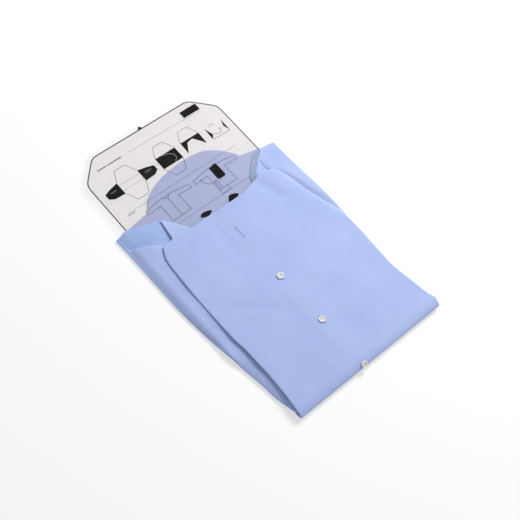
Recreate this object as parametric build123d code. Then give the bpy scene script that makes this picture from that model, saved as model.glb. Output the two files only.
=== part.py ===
"""A long-sleeved, button-front shirt, folded flat round its folding board.

The shirt lies face down. Its sides and sleeves are turned in over the board, and its tail is
turned up over them, so that the placket and its buttons face up again. The board stands out past
the collar and slides out of the fold along +Y; the tail unfolds about the bottom fold.

Millimetres, +Z up, +Y towards the collar. The origin is on the face that the shirt lies on, on
the board's centre line, half way between the bottom fold and the shoulders.
"""

import math
import os

from build123d import *

# ---- driving dimensions -------------------------------------------------------------------
# folding board
board_width = 272.0
board_length = 380.0
board_thickness = 1.0
board_corner_cut = 41.0
board_corner_radius = 11.0
board_reach = 141.0  # how far the board stands out past the shoulders

# folded shirt, seen from above
folded_length = 371.0  # bottom fold to shoulders
room_left = 14.0  # board's edge to the fold beside it
room_right = 20.0
taper_left = 35.5  # how much nearer the centre line the left edge is at the bottom fold
flare_right = 12.0  # how much further out the right edge is at the bottom fold
tail_length = 320.0  # bottom fold to hem
tail_left = 116.0  # centre line to the tail's left edge
tail_corner_radius = 22.0
hem_width = 6.0
placket_width = 34.0
placket_lean = 1.5  # degrees
yoke_depth = 72.0

# collar
collar_top_width = 104.0
collar_base_width = 170.0
collar_height = 41.0
collar_point_length = 74.0
neck_rise = 10.5  # shoulder corner to the neck's seam

# buttons, thread and buttonholes
button_diameter = 10.2
button_thickness = 2.2
button_pitch = 89.0
last_button_inset = 2.5  # bottom fold to the middle of the button that rides over it
button_rim = 1.3
button_dish = 0.8
thread_hole_radius = 0.8
thread_hole_spread = 1.5  # button's centre to each thread hole
thread_radius = 0.35
buttonhole_length = 17.0
buttonhole_width = 0.8
seat_clearance = 0.25
fold_button_lift = 0.15  # off the bend, whose thread it hangs by

# thicknesses of the layers, and the gap between one layer and the next
front_thickness = 2.4
back_thickness = 1.0
side_thickness = 1.0
sleeve_thickness = 1.4
tail_back_thickness = 1.0
tail_front_thickness = 1.4
tab_thickness = 0.5
layer_gap = 0.3
board_gap = 0.4
fold_edge_width = 6.0  # width of the bends down the two sides
bottom_bend = 12.0  # length of the bend at the bottom fold
axis_outside = 1.5  # bottom fold to the line that the tail unfolds about
sleeve_width = 78.0
cuff_length = 62.0

# ---- levels, from the table up --------------------------------------------------------------
front_z = 0.0
back_z = front_z + front_thickness + layer_gap
board_z = back_z + back_thickness + board_gap
side_z = board_z + board_thickness + board_gap
sleeve_z = side_z + side_thickness + layer_gap
tail_back_z = sleeve_z + sleeve_thickness + board_gap
tail_front_z = tail_back_z + tail_back_thickness + layer_gap
shirt_top_z = tail_front_z + tail_front_thickness
parting_z = shirt_top_z / 2

# ---- places in plan -------------------------------------------------------------------------
fold_y = -folded_length / 2
shoulder_y = folded_length / 2
board_top_y = shoulder_y + board_reach
board_bottom_y = board_top_y - board_length
left_x = -(board_width / 2 + room_left)
right_x = board_width / 2 + room_right
fold_left_x = left_x + taper_left
fold_right_x = right_x + flare_right
hem_y = fold_y + tail_length
bend_y = fold_y + bottom_bend
neck_y = shoulder_y + neck_rise
last_button_y = fold_y + last_button_inset
placket_x = 4.0  # where the placket's centre line crosses y = 0


def placket_centre(y):
    """X of the placket's centre line at y."""
    return placket_x - y * math.tan(math.radians(placket_lean))


def face(*edges):
    return Face(Wire(edges))


def slab(profile, z, thickness):
    return Pos(0, 0, z) * extrude(profile, thickness, dir=(0, 0, 1))


def above(y):
    """A box that holds everything with a larger y."""
    reach = 4 * (board_length + folded_length)
    return Pos(0, y + reach / 2, 0) * Box(reach, reach, reach)


def right_of(x, lean=0.0):
    """A box that holds everything with a larger x, its face leaning as the placket does."""
    reach = 4 * (board_length + folded_length)
    return Rot(0, 0, lean) * Pos(x + reach / 2, 0, 0) * Box(reach, reach, reach)


# ---- outlines -------------------------------------------------------------------------------
def left_points(inset=0.0):
    """The shirt's left edge, shoulder to bottom fold: along the board, then in to the fold."""
    straight_end = board_bottom_y + board_corner_cut + 25
    return [
        (left_x + inset, shoulder_y),
        (left_x + inset + 2, (shoulder_y + straight_end) / 2),
        (left_x + inset + 4, straight_end),
        (left_x + inset + 0.55 * taper_left, (2 * board_bottom_y + fold_y) / 3),
        (fold_left_x + inset, fold_y + inset),
    ]


def right_points(inset=0.0):
    """The shirt's right edge, bottom fold to shoulder: flared at the fold, then along the board."""
    return [
        (fold_right_x - 22, fold_y + inset),
        (fold_right_x - inset, fold_y + 10),
        (right_x + 5 - inset, fold_y + 62),
        (right_x - inset, fold_y + 96),
        (right_x + 4 - inset, fold_y + 190),
        (right_x + 2 - inset, shoulder_y - 80),
        (right_x - 1 - inset, shoulder_y - 5),
    ]


def shirt_face(inset=0.0):
    """The folded shirt without its collar."""
    left, right = left_points(inset), right_points(inset)
    half_neck = collar_base_width / 2
    return face(
        Line((half_neck, neck_y - 2 * inset), (-half_neck, neck_y - 2 * inset)),
        Line((-half_neck, neck_y - 2 * inset), left[0]),
        Spline(*left),
        Line(left[-1], right[0]),
        Spline(*right[:2], tangents=[(1, 0), (0, 1)]),
        Spline(*right[1:]),
        Line(right[-1], (half_neck, neck_y - 2 * inset)),
    )


def tail_face(hem_inset=0.0, side_inset=0.0):
    """The turned-up tail: straight at its left and hem, a raised corner at the hem's right."""
    left = -tail_left + side_inset
    hem = hem_y - hem_inset
    right = right_points(side_inset)
    corner = (board_width / 2 - 9 - side_inset, hem - 2)
    rise = (board_width / 2 - 41, hem + 12)
    return face(
        Line((fold_left_x + side_inset, fold_y), (left, hem - tail_corner_radius)),
        RadiusArc(
            (left, hem - tail_corner_radius),
            (left + tail_corner_radius, hem),
            tail_corner_radius,
        ),
        Line((left + tail_corner_radius, hem), (52, hem)),
        Spline((52, hem), rise, corner, tangents=[(1, 0), (0.6, -1)]),
        Spline(corner, (corner[0] + 8, hem - 48), right[4], right[3], right[2], right[1]),
        Spline(right[1], right[0], tangents=[(0, -1), (-1, 0)]),
        Line(right[0], (fold_left_x + side_inset, fold_y)),
    )


def placket_strip(width):
    """A tall box along the placket's centre line."""
    reach = 4 * (board_length + folded_length)
    return Pos(placket_x, 0, 0) * Rot(0, 0, placket_lean) * Box(width, reach, reach)


# ---- the board ------------------------------------------------------------------------------
def board_outline(margin=0.0):
    blank = Rectangle(board_width + 2 * margin, board_length + 2 * margin)
    blank = chamfer(blank.vertices(), board_corner_cut)
    blank = fillet(blank.vertices(), board_corner_radius)
    return Pos(0, board_top_y - board_length / 2) * blank


def folding_board():
    """A plastic sheet with cut and rounded corners."""
    sheet = slab(board_outline(), board_z, board_thickness)
    rims = sheet.edges().group_by(Axis.Z)
    return chamfer(rims[0] + rims[-1], board_thickness / 5)


# ---- buttons --------------------------------------------------------------------------------
def thread_holes():
    return [
        Pos(sx * thread_hole_spread, sy * thread_hole_spread, 0)
        for sx in (-1, 1)
        for sy in (-1, 1)
    ]


def button():
    """A four-hole button, standing on z = 0 with its dished face up."""
    disc = Cylinder(
        button_diameter / 2,
        button_thickness,
        align=(Align.CENTER, Align.CENTER, Align.MIN),
    )
    disc = fillet(disc.edges(), button_thickness / 4)
    dish = Pos(0, 0, button_thickness - button_dish) * Cylinder(
        button_diameter / 2 - button_rim,
        button_dish,
        align=(Align.CENTER, Align.CENTER, Align.MIN),
    )
    disc -= dish
    for place in thread_holes():
        disc -= place * Cylinder(thread_hole_radius, 3 * button_thickness)
    return disc


def thread():
    """Two bars of thread across the dish, each with its legs down through two holes."""
    top = button_thickness - button_dish
    loops = []
    for side in (-1, 1):
        bar = Pos(side * thread_hole_spread, 0, top + thread_radius) * Rot(90, 0, 0) * Cylinder(
            thread_radius, 2 * thread_hole_spread
        )
        for end in (-1, 1):
            bar += Pos(side * thread_hole_spread, end * thread_hole_spread, 0) * Cylinder(
                thread_radius,
                top + thread_radius,
                align=(Align.CENTER, Align.CENTER, Align.MIN),
            )
            bar += Pos(
                side * thread_hole_spread, end * thread_hole_spread, top + thread_radius
            ) * Sphere(thread_radius)
        loops.append(bar)
    return loops


def over_bottom_fold(y, lift):
    """A place on the bend at the bottom fold, its Z axis along the bend's normal."""
    across = (bend_y - y) / bottom_bend
    up = math.sqrt(1 - across**2)
    height = shirt_top_z - parting_z
    tilt = math.degrees(math.atan2(across / bottom_bend, up / height))
    surface = Pos(placket_centre(y), y, parting_z + height * up)
    return surface * Rot(tilt, 0, 0) * Pos(0, 0, lift)


def tail_button_places():
    """Buttons on the tail: two on the flat, one over the bottom fold."""
    flat = [last_button_y + n * button_pitch for n in (2, 1)]
    places = [Pos(placket_centre(y), y, shirt_top_z) for y in flat]
    return places + [over_bottom_fold(last_button_y, fold_button_lift)]


def front_button_places():
    """Buttons on the front that lies on the table, face down, flush with its face."""
    first_y = last_button_y + button_pitch - 6
    rows = [first_y + n * button_pitch for n in range(3)]
    return [Pos(placket_centre(y), y, button_thickness) * Rot(180, 0, 0) for y in rows]


collar_button_place = Pos(0, neck_y - 34, button_thickness) * Rot(180, 0, 0)


# ---- collar ---------------------------------------------------------------------------------
def collar_back_face():
    """The fall of the collar, seen from the back."""
    top, base = collar_top_width / 2, collar_base_width / 2
    low, high = neck_y + layer_gap, neck_y + collar_height
    return face(
        Line((-base, low), (base, low)),
        Line((base, low), (base - 5, low + 9)),
        Spline((base - 5, low + 9), (top, high), tangents=[(-0.6, 1), (-1, 0.12)]),
        Line((top, high), (-top, high)),
        Spline((-top, high), (5 - base, low + 9), tangents=[(-1, -0.12), (-0.6, -1)]),
        Line((5 - base, low + 9), (-base, low)),
    )


def collar_front_faces():
    """The two points of the collar, on the side that faces the table."""
    top, base = collar_top_width / 2, collar_base_width / 2
    high = neck_y + collar_height
    tip_y = high - collar_point_length - 18
    points = []
    for side in (-1, 1):
        points.append(
            face(
                Line((side * 4, high - 26), (side * top, high)),
                Line((side * top, high), (side * base, neck_y + layer_gap + 9)),
                Line((side * base, neck_y + layer_gap + 9), (side * 62, tip_y)),
                Line((side * 62, tip_y), (side * 4, high - 26)),
            )
        )
    return points


leaf_thickness = (front_thickness - 2 * layer_gap) / 2
stand_z = front_z + leaf_thickness + layer_gap


def collar_leaf():
    """The collar's fall: its points below, its back above, joined by the bend at the top."""
    top = collar_top_width / 2
    high = neck_y + collar_height
    leaf = slab(collar_back_face(), back_z, back_thickness)
    for point in collar_front_faces():
        leaf += slab(point, front_z, leaf_thickness)
    bend = Pos(0, high - 2.5, (back_z + back_thickness) / 2) * Box(
        2 * top, 5, back_z + back_thickness
    )
    return leaf + (bend & slab(collar_back_face(), front_z, back_z + back_thickness))


def collar_stand():
    """The band inside the collar, from the neck's seam up to the bend."""
    width = collar_base_width - 26
    height = collar_height - 9
    band = Pos(0, neck_y - 6 + height / 2, stand_z + (back_z - layer_gap - stand_z) / 2) * Box(
        width, height - 2, back_z - layer_gap - stand_z
    )
    outline = slab(collar_back_face(), 0, back_z)
    return band & (outline + Pos(0, neck_y - 8, back_z / 2) * Box(width, 17, back_z))


# ---- layers on the table --------------------------------------------------------------------
def front_layer():
    """The shirt's front, face down, with room for the collar's points and the stand."""
    layer = slab(shirt_face(), front_z, front_thickness) & above(bend_y + layer_gap)
    for point in collar_front_faces():
        layer -= slab(offset(point, layer_gap), front_z - 1, leaf_thickness + layer_gap + 1)
    grown = collar_stand().bounding_box()
    layer -= Pos(grown.center().X, grown.center().Y, grown.center().Z) * Box(
        grown.size.X + 2 * layer_gap, grown.size.Y + 2 * layer_gap, grown.size.Z + 2 * layer_gap
    )
    seat = Cylinder(button_diameter / 2 + seat_clearance, 3 * button_thickness)
    for place in front_button_places() + [collar_button_place]:
        layer -= Pos(place.position.X, place.position.Y, 0) * seat
    return layer


def split_by_placket(layer):
    """(left, placket, right) parts of a layer, with a gap between them."""
    placket = layer & placket_strip(placket_width)
    rest = layer - placket_strip(placket_width + 2 * layer_gap)
    right_side = Pos(placket_x, 0, 0) * right_of(0, placket_lean)
    return rest - right_side, placket, rest & right_side


def back_layer():
    """(yoke, back panel), between the two side bends."""
    layer = slab(shirt_face(fold_edge_width + layer_gap), back_z, back_thickness)
    layer &= above(bend_y + layer_gap)
    seam_y = shoulder_y - yoke_depth
    return layer & above(seam_y + layer_gap), layer - above(seam_y)


def side_bend(sign):
    """The bend down one side, from the back's level up to the side's, clear of the board."""
    height = side_z - layer_gap - back_z
    ring = slab(shirt_face(), back_z, height)
    ring -= slab(shirt_face(fold_edge_width), back_z - 1, height + 2)
    half = right_of(tail_left / 3)
    ring &= half if sign > 0 else Rot(0, 0, 180) * half
    ring -= slab(board_outline(layer_gap), back_z - 1, height + 2)
    return ring & above(bend_y + layer_gap) - above(shoulder_y - 8)


def side_fold(sign):
    """The side of the shirt turned in over the board, as far as it shows and a little on."""
    if sign < 0:
        free_edge = Spline(
            (left_x, shoulder_y),
            (-board_width / 2 + 8, shoulder_y + 7),
            (-76, shoulder_y - 11),
            tangents=[(1, 0.25), (0.5, -1)],
        )
        inner = [(-76, shoulder_y - 11), (-90, hem_y + 4), (-58, hem_y - 20)]
    else:
        free_edge = Spline(
            (right_x - 1, shoulder_y - 5),
            (board_width / 2 - 6, shoulder_y - 2),
            (86, hem_y + 12),
            tangents=[(-1, 0.1), (-1, -0.6)],
        )
        inner = [(86, hem_y + 12), (58, hem_y - 20)]
    start = free_edge @ 0
    low = (sign * 58, bend_y + layer_gap)
    outer_x = sign * 2 * board_width
    panel = face(
        free_edge,
        *[Line(a, b) for a, b in zip(inner, inner[1:])],
        Line(inner[-1], low),
        Line(low, (outer_x, low[1])),
        Line((outer_x, low[1]), (outer_x, start.Y)),
        Line((outer_x, start.Y), start),
    )
    return slab(panel, side_z, side_thickness) & slab(shirt_face(), side_z, side_thickness)


def sleeve(sign):
    """(sleeve, cuff), turned down along the side, on top of it."""
    top_y = hem_y - 12
    cuff_y = bend_y + 16
    outer = sign * (tail_left - 8)
    inner = sign * (tail_left - 8 - sleeve_width)
    if sign < 0:
        outline = face(
            Line((inner, top_y - 10), (-98, hem_y + 7)),
            Line((-98, hem_y + 7), (left_x + 9, shoulder_y - 17)),
            Spline(
                (left_x + 9, shoulder_y - 17),
                (left_x + 8, 30),
                (outer - 2, cuff_y + cuff_length),
            ),
            Line((outer - 2, cuff_y + cuff_length), (inner, cuff_y + cuff_length)),
            Line((inner, cuff_y + cuff_length), (inner, top_y - 10)),
        )
    else:
        outline = face(
            Line((inner, top_y), (outer, top_y)),
            Line((outer, top_y), (outer - 4, cuff_y + cuff_length)),
            Line((outer - 4, cuff_y + cuff_length), (inner, cuff_y + cuff_length)),
            Line((inner, cuff_y + cuff_length), (inner, top_y)),
        )
    cuff = Rectangle(sleeve_width - 14, cuff_length - layer_gap)
    cuff = Pos((outer + inner) / 2, cuff_y + (cuff_length - layer_gap) / 2) * fillet(cuff.vertices(), 8)
    return slab(outline, sleeve_z, sleeve_thickness), slab(cuff, sleeve_z, sleeve_thickness)


def sleeve_tab():
    """A stitched tab on the right sleeve, near the shoulder."""
    blank = Rectangle(6.4, 20)
    blank = fillet(blank.vertices(), 1.2)
    z = side_z + side_thickness
    return slab(Pos(board_width / 2 - 20, shoulder_y - 31) * Rot(0, 0, 4) * blank, z, tab_thickness)


# ---- the bottom fold ------------------------------------------------------------------------
def bottom_bend_solid(upper):
    """One half of the bend at the bottom fold: the table's half, or the tail's."""
    middle = parting_z + (layer_gap / 2 if upper else -layer_gap / 2)
    rim = shirt_top_z if upper else front_z
    profile = face(
        Line((bend_y, middle), (fold_y, middle)),
        EllipticalCenterArc(
            (bend_y, middle),
            bottom_bend,
            abs(rim - middle),
            start_angle=90 if upper else 180,
            arc_size=90,
        ),
        Line((bend_y, rim), (bend_y, middle)),
    )
    width = fold_right_x - fold_left_x + 20
    bar = Plane((fold_left_x - 10, 0, 0), x_dir=(0, 1, 0), z_dir=(1, 0, 0)) * profile
    bar = extrude(bar, width, dir=(1, 0, 0))
    return bar & slab(shirt_face(), -1, shirt_top_z + 2)


# ---- the tail -------------------------------------------------------------------------------
def buttonholes():
    """Slits down the placket: one under each button on the flat, and one that isn't fastened."""
    slit = Rot(0, 0, placket_lean) * Box(
        buttonhole_width, buttonhole_length, 6 * tail_front_thickness
    )
    rows = [last_button_y + n * button_pitch for n in (1, 2, 3)]
    return [Pos(placket_centre(y), y, shirt_top_z) * slit for y in rows]


def tail_front_layer():
    layer = slab(tail_face(hem_width + layer_gap), tail_front_z, tail_front_thickness)
    layer &= above(bend_y + layer_gap)
    left, placket, right = split_by_placket(layer)
    for slit in buttonholes():
        placket -= slit & slab(tail_face(), tail_front_z, tail_front_thickness)
    return left, placket, right


def tail_hem():
    strip = slab(tail_face(), tail_front_z, tail_front_thickness + 0.3)
    strip -= slab(tail_face(hem_width), tail_front_z - 1, 3 * tail_front_thickness)
    return strip & above(hem_y - hem_width - tail_corner_radius)


def tail_back_layer():
    """The inner layer of the tail, with the corner that shows above the hem."""
    layer = slab(tail_face(3.0, 3.0), tail_back_z, tail_back_thickness)
    layer &= above(bend_y + layer_gap)
    apex = (-tail_left + 38, hem_y + 41)
    corner = face(
        Line(apex, (apex[0] - 5, hem_y - 12)),
        Line((apex[0] - 5, hem_y - 12), (apex[0] + 31, hem_y - 12)),
        Line((apex[0] + 31, hem_y - 12), apex),
    )
    return layer + slab(corner, tail_back_z, tail_back_thickness)


# ---- write ----------------------------------------------------------------------------------
def write(name, *solids):
    shape = solids[0] if len(solids) == 1 else Compound(children=list(solids))
    export_step(shape, f"parts/{name}.step")


def main():
    os.makedirs("parts", exist_ok=True)
    write("folding_board", folding_board())

    left, placket, right = split_by_placket(front_layer())
    write("left_front", left)
    write("front_placket", placket)
    write("right_front", right)
    yoke, back = back_layer()
    write("yoke", yoke)
    write("back_panel", back)
    write("collar_stand", collar_stand())
    write("collar_leaf", collar_leaf())
    write("body_fold_bend", bottom_bend_solid(upper=False))
    for side, sign in (("left", -1), ("right", 1)):
        write(f"{side}_side_bend", side_bend(sign))
        write(f"{side}_side_fold", side_fold(sign))
        arm, cuff = sleeve(sign)
        write(f"{side}_sleeve", arm)
        write(f"{side}_cuff", cuff)
    write("right_sleeve_tab", sleeve_tab())
    write("front_buttons", *[place * button() for place in front_button_places()])
    write("collar_button", collar_button_place * button())

    tail_left_part, tail_placket, tail_right_part = tail_front_layer()
    write("tail_left_front", tail_left_part)
    write("tail_placket", tail_placket)
    write("tail_right_front", tail_right_part)
    write("tail_hem", tail_hem())
    write("tail_back", tail_back_layer())
    write("tail_fold_bend", bottom_bend_solid(upper=True))
    places = tail_button_places()
    for n, place in enumerate(places, 1):
        write(f"tail_button_{n}", place * button())
    write("tail_button_threads", *[place * loop for place in places for loop in thread()])


main()
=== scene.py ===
"""The looks of a light blue shirt folded round a frosted folding board.

Lengths in the tables below are in millimetres, in the part's own frame.
"""

import math

import bpy
import numpy as np
from mathutils import Matrix, Vector, noise
from mathutils.geometry import delaunay_2d_cdt


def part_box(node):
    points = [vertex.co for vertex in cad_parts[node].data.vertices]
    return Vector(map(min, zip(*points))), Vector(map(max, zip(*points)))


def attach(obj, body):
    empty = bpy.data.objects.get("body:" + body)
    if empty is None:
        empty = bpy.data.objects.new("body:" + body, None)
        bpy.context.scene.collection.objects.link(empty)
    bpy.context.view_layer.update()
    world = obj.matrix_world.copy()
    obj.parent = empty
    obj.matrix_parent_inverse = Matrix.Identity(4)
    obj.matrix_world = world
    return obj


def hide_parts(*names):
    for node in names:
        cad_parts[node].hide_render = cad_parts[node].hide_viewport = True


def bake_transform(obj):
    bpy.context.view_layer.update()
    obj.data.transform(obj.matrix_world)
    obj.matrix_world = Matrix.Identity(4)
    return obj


MM = 0.001
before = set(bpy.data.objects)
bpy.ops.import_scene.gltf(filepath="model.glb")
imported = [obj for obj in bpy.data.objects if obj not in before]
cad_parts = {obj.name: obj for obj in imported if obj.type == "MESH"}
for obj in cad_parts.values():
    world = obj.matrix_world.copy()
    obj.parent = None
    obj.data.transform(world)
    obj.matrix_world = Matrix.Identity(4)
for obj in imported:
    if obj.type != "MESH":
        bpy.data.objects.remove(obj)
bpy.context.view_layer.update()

BOARD_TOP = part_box("folding_board")[1].z / MM
TAIL_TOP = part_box("tail_left_front")[1].z / MM
FOLD_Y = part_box("body_fold_bend")[0].y / MM
BEND_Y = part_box("body_fold_bend")[1].y / MM


# ---- curves in plan ---------------------------------------------------------------------------
def smooth_run(points, step):
    """A curve through the points, sampled about every step, without its last point."""
    p = np.array(points, float)
    if len(p) == 2:
        n = max(1, int(np.linalg.norm(p[1] - p[0]) / step))
        return [p[0] + (p[1] - p[0]) * i / n for i in range(n)]
    p = np.vstack([2 * p[0] - p[1], p, 2 * p[-1] - p[-2]])
    out = []
    for a, b, c, d in zip(p, p[1:], p[2:], p[3:]):
        n = max(1, int(np.linalg.norm(c - b) / step))
        for t in np.arange(n) / n:
            out.append(
                0.5 * (2 * b + (c - a) * t + (2 * a - 5 * b + 4 * c - d) * t**2 + (3 * b - a - 3 * c + d) * t**3)
            )
    return out


def outline(*runs, step=2.5):
    """A closed outline from curves that meet at corners."""
    return np.array([p for run in runs for p in smooth_run(run, step)])


def straight_outline(corners, step=2.5):
    """A closed outline of straight runs."""
    return outline(*zip(corners, corners[1:] + corners[:1]), step=step)


def path_distance(points, path):
    """How far each point is from a path of straight runs."""
    best = np.full(len(points), 1e9)
    for p, v in zip(path, np.diff(path, axis=0)):
        t = np.clip(((points - p) @ v) / max(v @ v, 1e-9), 0, 1)
        best = np.minimum(best, np.linalg.norm(points - p - t[:, None] * v, axis=1))
    return best


def edge_distance(points, loop):
    return path_distance(points, np.vstack([loop, loop[:1]]))


def is_inside(points, loop):
    a, b = loop, np.roll(loop, -1, axis=0)
    inside = np.zeros(len(points), bool)
    for p, q in zip(a, b):
        crosses = (p[1] > points[:, 1]) != (q[1] > points[:, 1])
        x = p[0] + (points[:, 1] - p[1]) * (q[0] - p[0]) / (q[1] - p[1] if q[1] != p[1] else 1e-9)
        inside ^= crosses & (points[:, 0] < x)
    return inside


def ripple(x, y, scale, seed, detail=2):
    """Soft noise from about -1 to 1 over a plan position."""
    where = [Vector((a / scale, b / scale, seed)) for a, b in zip(x, y)]
    return np.array([noise.fractal(v, 1.0, 2.0, detail) for v in where])


def bump(x, y, centre, size, angle=0.0):
    """A smooth hill of height 1: size is its reach along and across angle."""
    c, s = math.cos(math.radians(angle)), math.sin(math.radians(angle))
    u = ((x - centre[0]) * c + (y - centre[1]) * s) / size[0]
    v = ((y - centre[1]) * c - (x - centre[0]) * s) / size[1]
    return np.exp(-(u**2) - v**2)


# ---- meshes -----------------------------------------------------------------------------------
def new_object(name, verts, faces, material, smooth=True):
    mesh = bpy.data.meshes.new(name)
    mesh.from_pydata([tuple(v) for v in verts], [], faces)
    mesh.update()
    obj = bpy.data.objects.new(name, mesh)
    bpy.context.scene.collection.objects.link(obj)
    mesh.materials.append(material)
    mesh.polygons.foreach_set("use_smooth", [smooth] * len(mesh.polygons))
    return obj


ROW_PITCH = 0.87  # between rows of a grid of triangles, per step along them
ROLL_RINGS = (0.12, 0.4, 1.0)  # rows of points over a rolled edge, as shares of its width
MERGED = 1e-5


def plan_mesh(loop, rings, step):
    """Triangles over the loop's inside, with extra rows of points at each ring's distance from it."""
    count = len(loop)
    lo, hi = loop.min(0), loop.max(0)
    gx, gy = np.meshgrid(np.arange(lo[0], hi[0], step), np.arange(lo[1], hi[1], step * ROW_PITCH))
    gx[1::2] += step / 2
    grid = np.column_stack([gx.ravel(), gy.ravel()])
    grid = grid[is_inside(grid, loop)]
    grid = grid[edge_distance(grid, loop) > max(rings) + 0.45 * step]
    extra = [grid]
    ahead, behind = np.roll(loop, -1, axis=0), np.roll(loop, 1, axis=0)
    run = ahead - behind
    normal = np.column_stack([-run[:, 1], run[:, 0]]) / np.linalg.norm(run, axis=1)[:, None]
    area = np.sum(loop[:, 0] * ahead[:, 1] - ahead[:, 0] * loop[:, 1])
    normal *= np.sign(area)
    for r in rings:
        ring = loop + normal * r
        ring = ring[is_inside(ring, loop)]
        extra.append(ring[edge_distance(ring, loop) > 0.9 * r])
    points = np.vstack([loop] + extra)
    edges = [(i, (i + 1) % count) for i in range(count)]
    verts, _, faces, *_ = delaunay_2d_cdt([Vector(p) for p in points], edges, [], 1, MERGED)
    return np.array([tuple(v) for v in verts]), [tuple(f) for f in faces]


def cloth(name, loop, top, under, material, roll=1.0, step=4.0, place=None):
    """A closed layer of cloth over a plan outline. top and under give its two faces' heights, and
    its edge is rounded over the distance roll. place maps (plan x, plan y, height) to the frame."""
    plan, faces = plan_mesh(loop, [roll * share for share in ROLL_RINGS], step)
    x, y = plan.T
    near = edge_distance(plan, loop)
    share = 1 - np.clip(near / roll, 0, 1)
    full = np.sqrt(np.clip(1 - share**2, 0, 1))
    high, low = top(x, y), under(x, y)
    middle = (high + low) / 2
    rim = near < 1e-3
    upper = np.column_stack([x, y, middle + (high - middle) * full])
    lower = np.column_stack([x, y, middle + (low - middle) * full])
    low_index = np.arange(len(plan))
    low_index[~rim] = len(plan) + np.arange((~rim).sum())
    verts = np.vstack([upper, lower[~rim]])
    if place:
        verts = place(verts)
    under_faces = [tuple(int(low_index[i]) for i in reversed(f)) for f in faces]
    obj = new_object(name, verts * MM, list(faces) + under_faces, material)
    crossed = loop[:, 0] * np.roll(loop[:, 1], -1) - np.roll(loop[:, 0], -1) * loop[:, 1]
    obj["flat_area"] = float(abs(crossed.sum()) / 2)
    obj["flat_size"] = [float(v) for v in (loop.max(0) - loop.min(0))]
    return obj


def ribbon(name, runs, width, z, material):
    """Flat printed lines: each run is a list of plan points."""
    verts, faces = [], []
    for run in runs:
        p = np.array(run, float)
        steps = np.diff(p, axis=0)
        steps /= np.linalg.norm(steps, axis=1)[:, None]
        a, b = np.vstack([steps[:1], steps]), np.vstack([steps, steps[-1:]])
        t = a + b
        t /= np.linalg.norm(t, axis=1)[:, None]
        stretch = 1 / np.clip(np.abs(np.sum(t * a, axis=1)), 0.5, 1)
        n = np.column_stack([-t[:, 1], t[:, 0]]) * stretch[:, None] * width / 2
        base = len(verts)
        for q, m in zip(p, n):
            verts += [(q[0] + m[0], q[1] + m[1], z), (q[0] - m[0], q[1] - m[1], z)]
        faces += [(i, i + 1, i + 3, i + 2) for i in range(base, base + 2 * len(steps), 2)]
    return new_object(name, np.array(verts) * MM, faces, material, smooth=False)


def filled(name, loops, z, material):
    """Flat printed shapes: each loop is a closed list of plan points."""
    verts, faces = [], []
    for loop in loops:
        base, count = len(verts), len(loop)
        edges = [(i, (i + 1) % count) for i in range(count)]
        v, _, f, *_ = delaunay_2d_cdt([Vector(p) for p in loop], edges, [], 1, MERGED)
        verts += [(p[0], p[1], z) for p in v]
        faces += [tuple(base + i for i in t) for t in f]
    return new_object(name, np.array(verts) * MM, faces, material, smooth=False)


# ---- materials --------------------------------------------------------------------------------
def principled(name, colour, roughness, **inputs):
    material = bpy.data.materials.new(name)
    material.use_nodes = True
    shader = material.node_tree.nodes["Principled BSDF"]
    shader.inputs["Base Color"].default_value = (*colour, 1)
    shader.inputs["Roughness"].default_value = roughness
    for key, value in inputs.items():
        shader.inputs[key.replace("_", " ")].default_value = value
    return material, shader


def node(material, kind, **settings):
    made = material.node_tree.nodes.new(kind)
    for key, value in settings.items():
        if key in made.inputs:
            made.inputs[key].default_value = value
        else:
            setattr(made, key, value)
    return made


def mottled(material, shader, dark, light, scale):
    """A base colour that drifts softly between two shades."""
    link = material.node_tree.links.new
    where = node(material, "ShaderNodeTexCoord")
    clouds = node(material, "ShaderNodeTexNoise", Scale=scale, Detail=4.0, Roughness=0.55)
    ramp = node(material, "ShaderNodeValToRGB")
    first, last = ramp.color_ramp.elements
    first.position, last.position = 0.35, 0.65
    first.color, last.color = (*dark, 1), (*light, 1)
    link(where.outputs["Object"], clouds.inputs["Vector"])
    link(clouds.outputs["Fac"], ramp.inputs["Fac"])
    link(ramp.outputs["Color"], shader.inputs["Base Color"])
    return where


def drifting(name, colour, roughness, dark, light, scale, **inputs):
    """A material whose only pattern is a drift between two shades."""
    material, shader = principled(name, colour, roughness, **inputs)
    mottled(material, shader, dark, light, scale)
    return material


def cotton(name, dark, light):
    """Plain-woven cotton: threads both ways, soft slubs and a little sheen."""
    material, shader = principled(
        name, light, 0.88, Sheen_Weight=0.25, Sheen_Roughness=0.5, IOR=1.4, Specular_IOR_Level=0.25
    )
    link = material.node_tree.links.new
    where = mottled(material, shader, dark, light, 14.0)
    over = node(material, "ShaderNodeMath", operation="MAXIMUM")
    for slot, direction in enumerate("XY"):
        wave = node(
            material, "ShaderNodeTexWave", bands_direction=direction, Scale=620.0, Distortion=0.6, Detail=1.0
        )
        link(where.outputs["Object"], wave.inputs["Vector"])
        link(wave.outputs["Fac"], over.inputs[slot])
    fine = node(material, "ShaderNodeBump", Strength=0.22, Distance=0.0002)
    link(over.outputs[0], fine.inputs["Height"])
    slubs = node(material, "ShaderNodeTexNoise", Scale=160.0, Detail=3.0)
    link(where.outputs["Object"], slubs.inputs["Vector"])
    coarse = node(material, "ShaderNodeBump", Strength=0.12, Distance=0.0006)
    link(slubs.outputs["Fac"], coarse.inputs["Height"])
    link(fine.outputs["Normal"], coarse.inputs["Normal"])
    link(coarse.outputs["Normal"], shader.inputs["Normal"])
    return material


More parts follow.
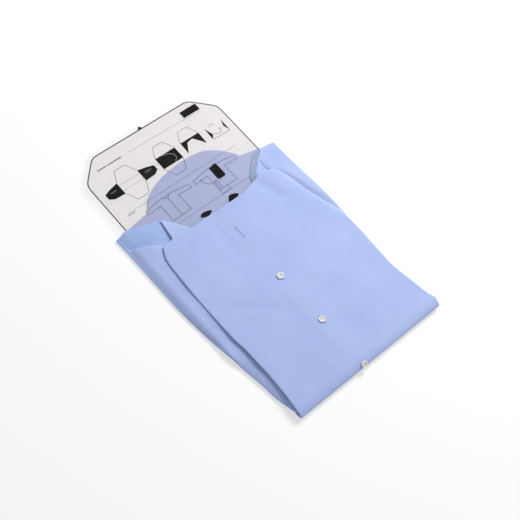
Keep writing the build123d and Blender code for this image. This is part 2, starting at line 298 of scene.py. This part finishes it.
blue = cotton("shirt_cotton", (0.358, 0.447, 0.745), (0.390, 0.477, 0.778))
blue_inner = cotton("shirt_cotton_inside", (0.375, 0.465, 0.745), (0.40, 0.49, 0.77))
blue_double = cotton("shirt_cotton_double", (0.335, 0.452, 0.795), (0.362, 0.479, 0.830))
# a darker copy of the shirt cotton: painted shade for the left side turned in over the board
blue_painted_fold_shade = cotton("shirt_cotton_painted_fold_shade", (0.298, 0.410, 0.705), (0.320, 0.434, 0.735))
# a greyer, darker copy of the shirt cotton: painted shade beside the right sleeve's ridge
blue_painted_ridge_shade = cotton("shirt_cotton_painted_ridge_shade", (0.315, 0.385, 0.600), (0.335, 0.405, 0.620))

seam_thread = drifting(
    "seam_thread", (0.27, 0.35, 0.64), 0.85, (0.25, 0.33, 0.62), (0.29, 0.37, 0.66), 700.0
)
# dark stitches for the hem and the shoulder tab: the thread's own colour, made far darker than the seam thread so
# that it also paints the shade along these stitched lines
dark_thread_and_painted_shade = drifting(
    "dark_thread_and_painted_shade", (0.12, 0.16, 0.36), 0.85, (0.10, 0.14, 0.34), (0.14, 0.18, 0.38), 700.0
)
frosted = drifting(
    "frosted_sheet", (0.7, 0.66, 0.69), 0.5, (0.69, 0.64, 0.66), (0.73, 0.69, 0.72), 9.0,
    Alpha=0.13, IOR=1.49,
)
ink = drifting(
    "print_ink", (0.012, 0.012, 0.013), 0.8, (0.009, 0.009, 0.010), (0.016, 0.015, 0.016), 40.0,
    Specular_IOR_Level=0.05,
)
hairline = drifting(
    "print_hairline", (0.10, 0.10, 0.11), 0.8, (0.05, 0.05, 0.06), (0.09, 0.09, 0.10), 40.0,
    Specular_IOR_Level=0.05,
)
ground = drifting(
    "print_ground", (0.33, 0.27, 0.27), 0.7, (0.31, 0.25, 0.25), (0.35, 0.29, 0.29), 12.0,
    Alpha=0.2, Specular_IOR_Level=0.1,
)
light_print = drifting(
    "print_knockout", (0.42, 0.41, 0.41), 0.5, (0.36, 0.35, 0.35), (0.46, 0.45, 0.45), 40.0
)
resin = drifting(
    "button_resin", (0.86, 0.84, 0.80), 0.22, (0.80, 0.78, 0.74), (0.90, 0.88, 0.85), 120.0,
    Coat_Weight=0.3, Coat_Roughness=0.15,
)
white_thread = drifting(
    "button_thread", (0.8, 0.8, 0.82), 0.8, (0.72, 0.72, 0.75), (0.85, 0.85, 0.86), 900.0
)


def finish_piece(obj, slot, *nodes, body="shirt"):
    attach(obj, body)
    if nodes:
        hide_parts(*nodes)


def dress(name, material):
    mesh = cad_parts[name].data
    mesh.materials.clear()
    mesh.materials.append(material)


# ---- the board's prints -----------------------------------------------------------------------
dress("folding_board", frosted)
PRINT_Z = BOARD_TOP + 0.05
LAYER = 0.02  # between prints that cross
BORDER_TOP = 318.5


def octagon(half_top, half_side, top, drop, bottom, radius):
    """The border: straight top, cut corners and long sides, with the corners rounded."""
    right = [(half_top, top), (half_side, top - drop), (half_side, bottom)]
    corners = [np.array(p, float) for p in mirrored(right, 0)[::-1] + right]
    points = [corners[0]]
    for a, b, c in zip(corners, corners[1:], corners[2:]):
        start, end = (b + (p - b) / np.linalg.norm(p - b) * radius for p in (a, c))
        points += [start * (1 - t) ** 2 + 2 * b * t * (1 - t) + end * t**2 for t in np.linspace(0, 1, 9)]
    return points + [corners[-1]]


def mirrored(points, centre):
    return [(2 * centre - x, y) for x, y in points]


def box_points(x0, y0, x1, y1):
    return [(x0, y0), (x1, y0), (x1, y1), (x0, y1)]


def arc(cx, cy, r, start, end):
    angles = np.radians(np.linspace(start, end, 12))
    return [(cx + r * math.cos(a), cy + r * math.sin(a)) for a in angles]


BORDER = octagon(half_top=93, half_side=128, top=BORDER_TOP, drop=35, bottom=-45, radius=9)
lines = []
solids = [
    [(-4.5, BORDER_TOP + 1), (4.5, BORDER_TOP + 1), (0, BORDER_TOP + 6)],
    box_points(69, 295.5, 101, 308),
]
thin = [
    [(-42, 296), (99, 293)],
    [(-107, 210.5), (105, 210.5)],
    [(-107, 153.5), (105, 153.5)],
]

# first row: a folding case, opened and then closed in three steps
ROW_1 = 251
CASE_HALF, FLAP = 11, 19  # half a case's height, and its flaps' height
OPENED, HALF_CLOSED, CLOSING = -70, 3, 52  # the cases' middles
for centre, half in ((OPENED, 19.5), (HALF_CLOSED, 19), (CLOSING, 18)):
    for side in (1, -1) if centre != CLOSING else (1,):
        y = ROW_1 + side * CASE_HALF
        tip = y + side * FLAP
        lines.append(
            [(centre - half, y), (centre - 0.5 * half, tip), (centre + 0.5 * half, tip), (centre + half, y)]
        )
for side in (-1, 1):
    wing = [(19.5, 11), (34, 8), (46, 4), (46, -5), (38, -10), (19.5, -11)]
    solids.append([(OPENED + side * x, ROW_1 + y) for x, y in wing][::side])
    thin.append([(OPENED - 19, ROW_1 + side * 5.5), (OPENED + 19, ROW_1 + side * 5.5)])
    thin.append([(OPENED + side * 27, ROW_1 - 2), (OPENED + side * 37, ROW_1 - 2)])
solids += [
    box_points(HALF_CLOSED - 19, ROW_1 - CASE_HALF, HALF_CLOSED + 19, ROW_1 + CASE_HALF),
    [(34, 262), (70, 262), (69, 239), (61, 251), (55, 259), (44, 257), (33, 240)],
    [(82, 262), (87, 246), (81, 238)],
    [(115, 261), (115, 237), (111, 249)],
]
lines += [
    [(82, 238), (115, 237)],
    arc(95, 257, 6, 150, 10),
    [(89, 246), (93, 243), (101, 242.5), (103, 247)],
    [(104, 252), (102, 247), (106, 247)],
]


# second row: a shirt laid out, and the same shirt with the board on it
def shirt_drawing(cx):
    half = [(0, 200), (5, 202), (16, 201.5), (41, 197), (41.5, 190.5), (17, 192.5), (17.5, 162)]
    right = [(cx + x, y) for x, y in half]
    return right + mirrored(right, cx)[::-1]


FIRST_SHIRT, SECOND_SHIRT = -43.5, 47.5
for cx in (FIRST_SHIRT, SECOND_SHIRT):
    lines += [shirt_drawing(cx), [(cx - 6, 202), (cx, 196), (cx + 6, 202)]]
solids.append(
    outline(
        [(41, 201), (52, 203.5)],
        [(52, 203.5), (55.5, 201), (56, 181)],
        [(56, 181), (54, 177.5), (43, 177)],
        [(43, 177), (40.5, 180), (41, 201)],
        step=1.5,
    )
)
lines += [
    [(FIRST_SHIRT, 196), (FIRST_SHIRT, 162)],
    arc(31, 191, 13.5, 165, 290),
    [(37, 180), (36, 177), (32.5, 178)],
    [(30, 162), (30, 154), (46, 154), (46, 162)],
    [(33, 178), (33, 162)],
    [(37, 178), (37, 162)],
]

# third row: two dark ovals
for oval in (
    [(-25, 141), (-21, 145.5), (-14, 146), (-3, 142), (-13, 137)],
    [(27, 137), (34, 145.5), (42, 145), (49, 140), (40, 135), (29, 134.5)],
):
    solids.append(outline(oval + oval[:1], step=1.5))

# light lines drawn on the dark shapes, and plain bars where small captions would be
knockout = [
    [(-4, ROW_1 + 10.5), (6, ROW_1 + 8), (14, ROW_1 + 2), (14, ROW_1 - 5), (8, ROW_1 - 9.5)],
    *([(OPENED + s * 27, ROW_1 + 1.5), (OPENED + s * 38, ROW_1 + 1.5)] for s in (-1, 1)),
]
bars = [box_points(x, 294.6, x + w, 296.2) for x, w in ((-100, 17), (-81, 25))]
bars += [box_points(x, 207, x + w, 208.2) for x, w in ((-110, 5), (-104, 7))]

for piece in (
    ribbon("board_border", [BORDER], 1.7, PRINT_Z, ink),
    filled("board_print_ground", [BORDER], PRINT_Z - LAYER, ground),
    filled("board_print_shapes", solids, PRINT_Z, ink),
    ribbon("board_print_lines", lines, 0.7, PRINT_Z, hairline),
    ribbon("board_print_hairlines", thin, 0.4, PRINT_Z + LAYER, hairline),
    ribbon("board_print_knockouts", knockout, 0.5, PRINT_Z + 0.05, light_print),
    filled("board_print_bars", bars, PRINT_Z, hairline),
):
    piece.visible_shadow = False
    finish_piece(piece, "board", body="board")

# ---- outlines and heights of the folded shirt ---------------------------------------------------
LEFT_SIDE = [
    (-149, 186), (-148, 152), (-147.5, 110), (-147, 72), (-146, 36), (-143, 1), (-139, -31), (-134, -60),
    (-131, -86), (-126, -116), (-124, -138), (-119, -161), (-115, -177), (-114, -184),
]
RIGHT_SIDE = [
    (167, -183), (171, -172), (165, -158), (160, -127), (155.5, -94), (156.5, -66), (158.5, -19),
    (161, 29), (160.5, 75), (157.5, 130), (155, 179),
]
RIDGE = [(127, 180), (122, 175.5), (113, 168.5), (104, 161.5), (96, 154.5), (90, 147), (90, 139)]
TAIL_CORNER = (129, 127), (157, 25)  # the straight run of the tail's edge below its right corner
BOARD_EDGE, EDGE_WIDTH = 136.4, 1.2
ON_TABLE, ON_BOARD, ON_SIDE = 0.35, 5.55, 6.95  # undersides of what lies on each
SLEEVE_LAYER, TAIL_LAYER, INNER_LAYER, CUFF_LAYER = 0.9, 1.3, 0.9, 1.5


def inset_x(points, amount):
    return [(x + amount, y) for x, y in points]


def level(z):
    return lambda x, y: np.full(len(x), float(z))


def waves(z, amount, scale, seed):
    return lambda x, y: z + amount * ripple(x, y, scale, seed)


def raised(top, amount):
    return lambda x, y: top(x, y) + amount


def middle_of(name):
    low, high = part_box(name)
    return (low.x + high.x) / 2 / MM, (low.y + high.y) / 2 / MM


def beside(x, y, start, end):
    """Signed distance to the left of the line from start to end, and how far along it lies, 0 to 1."""
    run = np.array(end, float) - np.array(start, float)
    length = np.linalg.norm(run)
    along = ((x - start[0]) * run[0] + (y - start[1]) * run[1]) / length**2
    return ((y - start[1]) * run[0] - (x - start[0]) * run[1]) / length, along


pieces = {}

# ---- the body and the collar, under the board ---------------------------------------------------
lower = outline(
    [(85, 196), (-85, 196)],
    [(-85, 196), (-149, 186)],
    LEFT_SIDE[:-2],
    [LEFT_SIDE[-3], (-116, -172)],
    [(-116, -172), (165, -172)],
    [(165, -172), RIGHT_SIDE[2]],
    RIGHT_SIDE[2:],
    [(155, 179), (85, 196)],
)
body_top = waves(3.65, 0.12, 70, 3)
pieces["body_lower"] = cloth("body_lower", lower, body_top, level(0.25), blue_double, roll=1.7, step=6)
finish_piece(pieces["body_lower"], "cloth", "left_front", "front_placket", "right_front", "yoke", "back_panel")

collar_curve = [
    (98, 190), (93, 201), (76, 219), (55, 232.5), (25, 237), (-14, 234.5), (-41, 228), (-66, 216),
    (-78, 203), (-88, 190),
]
collar_loop = outline([collar_curve[-1], collar_curve[0]], collar_curve)


def collar_top(x, y):
    return 3.2 + 0.5 * np.clip((y - 196) / 20, 0, 1) + 0.1 * ripple(x, y, 40, 9)


pieces["collar"] = cloth("collar", collar_loop, collar_top, level(0.4), blue_double, roll=1.8, step=5)
finish_piece(pieces["collar"], "cloth", "collar_stand", "collar_leaf")


# ---- the left side and sleeve, turned in over the board -----------------------------------------
def settle(y):
    """How much lower the layers lie past the board's lower end."""
    return 1.5 * np.clip((-55 - y) / 35, 0, 1)


def past_board(x):
    """From 0 over the board to 1 beside it."""
    return np.clip((np.abs(x) - BOARD_EDGE) / EDGE_WIDTH, 0, 1)


def wrap_under(x, y):
    """Down to the table beside the board, and just over the board's top face on it."""
    return np.maximum(ON_BOARD - settle(y) - (ON_BOARD - ON_TABLE) * past_board(x), ON_TABLE)


def edge_fall(x, y):
    """From 1 at the left fold to 0 a little inside it, only where no board lies under the cloth."""
    away = path_distance(np.column_stack([x, y]), np.array(LEFT_SIDE, float))
    clear = np.maximum(np.clip((-x - 134) / 5, 0, 1), np.clip((-56 - y) / 25, 0, 1))
    return clear * np.clip(1 - away / 12, 0, 1) ** 1.5


def left_top(x, y):
    z = 6.9 + 0.3 * ripple(x, y, 45, 21) - 1.1 * np.clip((-112 - x) / 22, 0, 1) - 3.0 * np.clip((-134 - x) / 15, 0, 1)
    z -= settle(y) + 1.5 * edge_fall(x, y) * np.clip((20 - y) / 60, 0, 1)
    z += 0.9 * bump(x, y, (-116, 172), (26, 9), -16)
    z -= 0.7 * bump(x, y, (-122, 153), (26, 5), -20)
    side, along = beside(x, y, (-92, 136), (-78.5, 173.5))
    dip = np.clip(1 - side / 16, 0, 1) ** 2 * np.clip((1.1 - along) / 0.6, 0, 1)
    return z - 0.5 * dip


left_loop = outline(
    [(-149, 186), (-148.4, 168), (-146.5, 150)],
    inset_x([(-148.5, 150), *LEFT_SIDE[2:11]], 2),
    [(LEFT_SIDE[10][0] + 2, LEFT_SIDE[10][1]), (-60, -138)],
    [(-60, -138), (-60, 140)],
    [(-60, 140), (-78, 173.5)],
    [(-78, 173.5), (-103, 181), (-128.5, 189.5)],
    [(-128.5, 189.5), (-149, 186)],
)
# the left side turned in takes the darker cotton, which paints shade over all of it
pieces["left_side_turned_in"] = cloth("left_side_turned_in", left_loop, left_top, wrap_under, blue_painted_fold_shade, roll=2.6)
finish_piece(pieces["left_side_turned_in"], "cloth", "left_side_bend", "left_side_fold")

left_arm = outline(
    [(-101, 137), (-107.5, 142.5), (-118, 149.5), (-131, 155), (-141, 159), (-147.8, 158)],
    [(-147.8, 158), *LEFT_SIDE[1:13]],
    [LEFT_SIDE[12], (-60, -172)],
    [(-60, -172), (-60, 110)],
    [(-60, 110), (-101, 137)],
)


def sleeve_top(x, y):
    """The sleeve on the left, thin where its top edge is turned under."""
    outward = np.clip((-x - 116) / 30, 0, 1)
    z = 8.9 - 1.6 * outward - 2.2 * np.clip((-x - 134) / 14, 0, 1) + 0.3 * ripple(x, y, 50, 31)
    z -= settle(y) + 2.6 * edge_fall(x, y)
    z -= 0.6 * np.clip((y - 118) / 45, 0, 1) + 0.4 * bump(x, y, (-126, 20), (5, 90), 2)
    return z - 0.5 * np.clip((20 - y) / 60, 0, 1)


def sleeve_under(x, y):
    """Over the side's top face, and down to the table beside it."""
    side_top = ON_SIDE - settle(y) - (ON_SIDE - ON_TABLE) * past_board(x)
    return np.minimum(side_top, sleeve_top(x, y) - SLEEVE_LAYER)


pieces["left_sleeve_cloth"] = cloth("left_sleeve_cloth", left_arm, sleeve_top, sleeve_under, blue, roll=2.4)
finish_piece(pieces["left_sleeve_cloth"], "cloth", "left_sleeve")

# ---- the right side and sleeve ------------------------------------------------------------------
right_loop = outline(
    RIGHT_SIDE[3:],
    [RIGHT_SIDE[-1], (140, 181.5), (129, 180.5)],
    [(129, 180.5), (122, 183.5), (112, 178.5), (103, 171), (94, 163.5), (85, 154), (81, 146), (80, 138)],
    [(80, 138), (66, 120)],
    [(66, 120), (60, -138)],
    [(60, -138), (150, -138), RIGHT_SIDE[3]],
)
right_arm_side = inset_x(RIGHT_SIDE[4:-1], -1.2)
right_arm = outline(
    right_arm_side,
    [right_arm_side[-1], (154.5, 178)],
    [(154.5, 178), (141, 180.5), (127, 180)],
    RIDGE,
    [(90, 139), (66, 110)],
    [(66, 110), (60, -104)],
    [(60, -104), (102, -104)],
    [(102, -104), right_arm_side[0]],
)


def right_under(x, y):
    return wrap_under(x, y) - 0.35 * (np.abs(x) < BOARD_EDGE)


def right_top(x, y):
    """Rising from the board's face to the sleeve's ridge, and falling again under the sleeve."""
    plan = np.column_stack([x, y])
    away = path_distance(plan, np.array(RIDGE, float))
    rising = 5.3 + 4.2 * np.clip(1 - away / 10, 0, 1) ** 2
    return np.where(is_inside(plan, right_arm), np.maximum(9.5 - 0.5 * away, 6.4), rising) - settle(y)


# how far from the ridge the painted shade reaches
PAINTED_SHADE_REACH = 13
pieces["right_side_turned_in"] = cloth(
    "right_side_turned_in", right_loop, right_top, right_under, blue, roll=0.8, step=3
)
# faces near the ridge take the greyer cotton: painted shade where the turned-in side rises to the sleeve's ridge
turned_in = pieces["right_side_turned_in"].data
turned_in.materials.append(blue_painted_ridge_shade)
centres = np.array([face.center[:2] for face in turned_in.polygons]) / MM
for face, away in zip(turned_in.polygons, path_distance(centres, np.array(RIDGE, float))):
    face.material_index = int(away < PAINTED_SHADE_REACH)
finish_piece(pieces["right_side_turned_in"], "cloth", "right_side_bend", "right_side_fold")


def right_arm_top(x, y):
    """A ridge along the free edge, and a soft fold beside the tail's edge."""
    side, along = beside(x, y, (88, 147), (127, 180))
    ridge = np.exp(np.minimum(side, 0) / 8) * np.clip(along + 0.5, 0, 1)
    beyond, _ = beside(x, y, *TAIL_CORNER)
    fold = np.exp(-((np.maximum(beyond - 4, 0) / 15) ** 2)) * np.clip((beyond + 1) / 5, 0, 1)
    fold *= np.clip((y - 25) / 40, 0, 1) * np.clip((142 - y) / 18, 0, 1)
    return 8.2 + 0.25 * ripple(x, y, 50, 51) + 2.4 * ridge + 2.2 * fold


pieces["right_sleeve_cloth"] = cloth("right_sleeve_cloth", right_arm, right_arm_top, level(6.9), blue, roll=1.4)
finish_piece(pieces["right_sleeve_cloth"], "cloth", "right_sleeve")

# ---- the cuffs, flat on the sleeves' ends -------------------------------------------------------
CUFF_TOP = {"left": waves(8.2, 0.1, 40, 81), "right": waves(8.6, 0.1, 40, 82)}
CORNER = 4


def cuff_box(side):
    low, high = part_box(f"{side}_cuff")
    return low.x / MM, low.y / MM, high.x / MM, high.y / MM


for side, top in CUFF_TOP.items():
    x0, y0, x1, y1 = cuff_box(side)
    band = straight_outline(
        [(x0 + CORNER, y0), (x1 - CORNER, y0), (x1, y0 + CORNER), (x1, y1), (x0, y1), (x0, y0 + CORNER)]
    )
    name = f"{side}_cuff_band"
    pieces[name] = cloth(name, band, top, raised(top, -CUFF_LAYER), blue, roll=0.7)
    finish_piece(pieces[name], "cloth", f"{side}_cuff")

# ---- the tail, turned up over them ---------------------------------------------------------------
MIDDLE_Z = TAIL_TOP / 2
BEND_LENGTH = 29.0
TAIL_END = BEND_Y - BEND_LENGTH
PLACKET_X, LEAN = 4.0, math.tan(math.radians(1.5))
BUTTONS_ON_TOP = [middle_of("tail_button_1"), middle_of("tail_button_2")]


def round_the_bend(verts):
    """Plan y below the bend's start runs round the bottom fold to the underside."""
    out = verts.copy()
    x, s, z = verts.T
    round_it = s < BEND_Y
    phi = (BEND_Y - s[round_it]) / BEND_LENGTH * math.pi
    inward = TAIL_TOP - z[round_it]
    out[round_it, 1] = BEND_Y - (BEND_Y - FOLD_Y - inward) * np.sin(phi)
    out[round_it, 2] = MIDDLE_Z + (MIDDLE_Z - inward) * (0.45 * np.cos(phi) + 0.55 * (1 - 2 * phi / math.pi))
    return out


def fade_at_bend(y):
    return np.clip((y - BEND_Y) / 30, 0, 1)


def placket_at(y):
    return PLACKET_X - y * LEAN


def tail_top(x, y):
    z = 1.1 * ripple(x, y, 75, 61) + 0.3 * ripple(x, y, 32, 62)
    for at in BUTTONS_ON_TOP:
        z *= 1 - bump(x, y, at, (14, 14))
    z += 0.8 * bump(x, y, (48, 60), (26, 70), 8) - 0.7 * bump(x, y, (-60, -20), (60, 10), -38)
    z += 1.0 * bump(x, y, (104, 138), (18, 9), -20) - 1.1 * bump(x, y, (92, 112), (10, 30), 25)
    z += 0.8 * bump(x, y, (112, 105), (12, 36), 12)
    beyond, _ = beside(x, y, *TAIL_CORNER)
    z -= 2.2 * np.exp(-((beyond / 4) ** 2)) * np.clip((y - 5) / 30, 0, 1)
    off = np.abs(x - placket_at(y))
    z += 0.18 * np.clip((17.5 - off) / 1.5, 0, 1)
    return TAIL_TOP + z * fade_at_bend(y)


HEM = [
    (-103, 134), (-84, 134.8), (-40, 134.7), (0, 134.6), (47, 134.5), (57, 135.5), (67, 138), (78, 140.5),
    (88, 144), (94, 148.5), (101, 149), (108, 145), (116, 141), (125, 133), (131, 121), (134, 104),
    (137, 84), (146, 55), (157, 25),
]
TAIL_LEFT = [
    (-116, -186), (-114.5, -167), (-112.5, -142), (-111.5, -112), (-112.5, -88), (-113.5, -61),
    (-116, -38), (-116.5, 5), (-116.5, 49), (-115.5, 82), (-113.5, 111), (-109.5, 123), (-106, 130),
    (-103, 134),
]
tail_loop = outline(
    [(-116, TAIL_END), (-116, -186)],
    TAIL_LEFT,
    HEM,
    [(157, 25), (157, -19), (155.5, -66), (155, -94), (160, -127), (165, -158), (170, -172)],
    [(170, -172), (168, -184), (164, TAIL_END)],
    [(164, TAIL_END), (-116, TAIL_END)],
)
tail = cloth(
    "tail_cloth", tail_loop, tail_top, raised(tail_top, -TAIL_LAYER), blue,
    roll=0.65, step=3.2, place=round_the_bend,
)
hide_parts("tail_left_front", "tail_right_front", "tail_placket", "tail_hem", "tail_fold_bend", "body_fold_bend")
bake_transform(tail)
pieces["tail_cloth"] = tail

inner_loop = outline(
    [(-112, -160), (-112, 100)],
    [(-112, 100), (-100, 128), (-83, 138)],
    [(-83, 138), (-78, 173)],
    [(-78, 173), (-61, 153), (-49, 133)],
    [(-49, 133), (60, 131)],
    [(60, 131), (120, 128), (128, 100), (150, 30)],
    [(150, 30), (152, -160)],
    [(152, -160), (-112, -160)],
)


def inner_top(x, y):
    side, _ = beside(x, y, (-84.5, 136), (-78, 173))
    beyond_hem = np.clip((y - 132) / 30, 0, 1)
    return 9.7 + 0.15 * ripple(x, y, 40, 71) + (0.9 * np.exp(np.minimum(side, 0) / 5) - 1.4) * beyond_hem


pieces["tail_inner"] = cloth(
    "tail_inner", inner_loop, inner_top, raised(inner_top, -INNER_LAYER), blue_inner, roll=0.5
)
finish_piece(pieces["tail_inner"], "cloth", "tail_back", body="tail")

# ---- buttons, stitches --------------------------------------------------------------------------
for name in ("front_buttons", "collar_button", "tail_button_1", "tail_button_2", "tail_button_3"):
    dress(name, resin)
dress("tail_button_threads", white_thread)


def side_step(a, b, width):
    """A step of the given width at right angles to the line from a to b."""
    t = (b - a) / np.linalg.norm(b - a)
    return np.array([-t[1], t[0]]) * width


def stitches(name, run, height, length=2.2, gap=0.8, width=0.42, material=seam_thread):
    """A row of stitches along a curve, each a small sunk capsule."""
    path = np.array(smooth_run(run, 0.5) + [np.array(run[-1], float)])
    lengths = np.concatenate([[0], np.cumsum(np.linalg.norm(np.diff(path, axis=0), axis=1))])
    verts, faces = [], []
    for s in np.arange(0.5, lengths[-1] - length, length + gap):
        a, b = (np.array([np.interp(at, lengths, path[:, k]) for k in (0, 1)]) for at in (s, s + length))
        n = side_step(a, b, width / 2)
        z = height(np.array([a[0], b[0]]), np.array([a[1], b[1]])) - 0.06
        i = len(verts)
        m = (a + b) / 2
        verts += [(*a, z[0]), (*(m + n), z.mean()), (*b, z[1]), (*(m - n), z.mean()), (*m, z.mean() + 0.2)]
        faces += [(i, i + 3, i + 4), (i + 3, i + 2, i + 4), (i + 2, i + 1, i + 4), (i + 1, i, i + 4)]
    return new_object(name, np.array(verts) * MM, faces, material)


def placket_line(offset):
    return [(placket_at(y) + offset, y) for y in (126, -168)]


def buttonhole(name, x, y, length=18.5):
    """Dense stitches down both sides of a slit and across its ends."""
    half, slit, thread = 1.5, 0.18, 0.24
    bars = []
    for s in np.arange(0, length, 0.55):
        at = np.array([x - LEAN * (s - length / 2), y + s - length / 2])
        bars += [(at + (side * slit, 0), at + (side * half, 0)) for side in (-1, 1)]
    for end in (-1, 1):
        for k in np.arange(-half, half + 0.1, 0.5):
            at = np.array([x + k, y + end * length / 2])
            bars.append((at - (0, 0.9), at + (0, 0.9)))
    verts, faces = [], []
    for a, b in bars:
        n = side_step(a, b, thread)
        z = float(tail_top(np.array([x]), np.array([(a[1] + b[1]) / 2]))[0])
        i = len(verts)
        verts += [(*p, z - 0.1) for p in (a + n, a - n, b - n, b + n)] + [(*p, z + 0.22) for p in (a, b)]
        faces += [(i, i + 4, i + 5, i + 3), (i + 1, i + 2, i + 5, i + 4)]
        faces += [(i, i + 1, i + 4), (i + 3, i + 5, i + 2)]
    return new_object(name, np.array(verts) * MM, faces, seam_thread)


rows = [
    buttonhole("open_buttonhole", placket_at(86) + 2, 86),
    buttonhole("buttonhole_1", placket_at(-6), -6, length=13),
    buttonhole("buttonhole_2", placket_at(-94), -94, length=13),
    # the hem stitches use the dark thread, which also carries painted shade
    stitches("hem_stitches", [(x, y - 6) for x, y in HEM[:15]], tail_top, width=0.55, material=dark_thread_and_painted_shade),
    stitches("placket_stitches_left", placket_line(-15.5), tail_top),
    stitches("placket_stitches_right", placket_line(15.5), tail_top),
]
for row in rows:
    finish_piece(row, "cloth", body="tail")

yoke_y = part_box("yoke")[0].y / MM
yoke_row = stitches("yoke_stitches", [(-56, yoke_y), (62, yoke_y)], body_top)
finish_piece(yoke_row, "cloth")

# the tab at the right shoulder, with stitches along its four edges
TAB_HALF, TAB_HALF_LENGTH = 3.2, 10
ROW_IN = 2.4, 9  # half the box that the stitches run round
tab_x, tab_y = middle_of("right_sleeve_tab")
tab_loop = straight_outline(
    box_points(tab_x - TAB_HALF, tab_y - TAB_HALF_LENGTH, tab_x + TAB_HALF, tab_y + TAB_HALF_LENGTH), step=1.2
)
tab = cloth(
    "shoulder_tab", tab_loop, raised(right_arm_top, 0.4), raised(right_arm_top, -0.1), blue, roll=0.35, step=1.5
)
finish_piece(tab, "cloth", "right_sleeve_tab")
for ends, start, stop, length, gap in (
    ("left", (-1, -1), (-1, 1), 1.3, 0.2),
    ("right", (1, -1), (1, 1), 1.3, 0.2),
    ("low", (-1, -1), (1, -1), 1.0, 0.1),
    ("high", (-1, 1), (1, 1), 1.0, 0.1),
):
    run = [(tab_x + ROW_IN[0] * u, tab_y + ROW_IN[1] * v) for u, v in (start, stop)]
    # the tab's stitches use the dark thread, which also carries painted shade
    row = stitches(
        f"shoulder_tab_stitches_{ends}", run, raised(right_arm_top, 0.55), length, gap, 1.3, dark_thread_and_painted_shade
    )
    finish_piece(row, "cloth")

# ---- stitches across the cuffs -------------------------------------------------------------------
for side, top in CUFF_TOP.items():
    x0, y0, x1, y1 = cuff_box(side)
    cuff_rows = [
        stitches(f"{side}_cuff_stitches_{end}", [(x0 + CORNER, y), (x1 - CORNER, y)], top)
        for end, y in (("low", y0 + CORNER), ("high", y1 - CORNER))
    ]
    for row in cuff_rows:
        finish_piece(row, "cloth")

# ---- floor, light, camera -----------------------------------------------------------------------
floor_material, floor_shader = principled("studio_floor", (0.44, 0.44, 0.44), 0.9, Emission_Strength=0.5)
floor_shader.inputs["Emission Color"].default_value = (1, 1, 1, 1)
bpy.ops.mesh.primitive_plane_add(size=12, location=(0, 0, -0.0002))
floor = bpy.context.object
floor.name = "floor"
floor.data.materials.append(floor_material)

world = bpy.data.worlds.new("studio")
bpy.context.scene.world = world
world.use_nodes = True
world.node_tree.nodes["Background"].inputs["Color"].default_value = (1, 1, 1, 1)
world.node_tree.nodes["Background"].inputs["Strength"].default_value = 0.5

lamp = bpy.data.lights.new("key", "AREA")
lamp.shape = "DISK"
lamp.size, lamp.energy = 0.9, 54
obj = bpy.data.objects.new("key", lamp)
bpy.context.scene.collection.objects.link(obj)
obj.location = (1.68, 0.6, 1.42)
obj.rotation_euler = (-obj.location).to_track_quat("-Z", "Y").to_euler()

CAMERA_AT = Vector((-0.6238, -0.354, 1.3293))
TOWARDS_CAMERA, TO_THE_RIGHT = Vector((-0.4121, -0.2564, 0.8743)), Vector((0.7417, -0.6517, 0.1585))
camera_data = bpy.data.cameras.new("camera")
camera_data.lens, camera_data.sensor_width = 70.9, 36
camera_data.clip_end = 20
camera = bpy.data.objects.new("camera", camera_data)
bpy.context.scene.collection.objects.link(camera)
back = TOWARDS_CAMERA.normalized()
right = (TO_THE_RIGHT - TO_THE_RIGHT.dot(back) * back).normalized()
up = back.cross(right)
turn = Matrix((right, up, back)).transposed().to_4x4()
camera.matrix_world = Matrix.Translation(CAMERA_AT) @ turn
bpy.context.scene.camera = camera
bpy.context.scene.view_settings.view_transform = "Standard"
